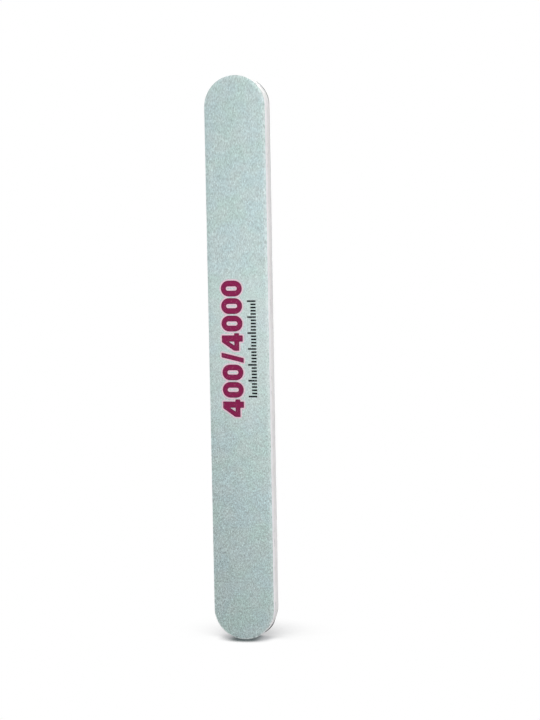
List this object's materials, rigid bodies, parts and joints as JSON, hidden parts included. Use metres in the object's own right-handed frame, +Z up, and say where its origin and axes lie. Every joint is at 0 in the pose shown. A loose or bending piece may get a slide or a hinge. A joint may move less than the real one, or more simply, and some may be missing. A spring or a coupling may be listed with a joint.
{
  "type": "nail buffer",
  "caption": "Straight double-sided nail buffer with round ends: a plastic core between two foam pads, with a pale green and a dark grey abrasive paper on its faces.",
  "frame": {"origin": "foot of the lower rounded end, in the middle of the width and of the thickness", "axes": "+Z up the length from the lower rounded end to the upper one, +X across the width, -Y out of the pale green front face, +Y out of the dark grey back face"},
  "size_m": [0.0196, 0.007, 0.178],
  "materials": {
    "green_grit": "pale green mineral grit bonded in resin, matt with fine sparkle",
    "white_paper": "white latex-filled backing paper, matt",
    "paper_glue": "clear pressure-sensitive adhesive",
    "foam": "white fine-celled closed-cell foam, die cut",
    "core_glue": "pressure-sensitive adhesive with a little cutting dust",
    "core_plastic": "white polystyrene board, satin",
    "grey_paper": "dark grey backing paper, matt",
    "grey_grit": "dark grey very fine grit bonded in resin, matt"
  },
  "bodies": {
    "root": {"front_grit_coat": "green_grit", "front_backing_paper": "white_paper", "front_paper_glue": "paper_glue", "front_foam": "foam", "front_core_glue": "core_glue", "core_board": "core_plastic", "back_core_glue": "core_glue", "back_foam": "foam", "back_paper_glue": "paper_glue", "back_backing_paper": "grey_paper", "back_grit_coat": "grey_grit"}
  },
  "joints": []
}
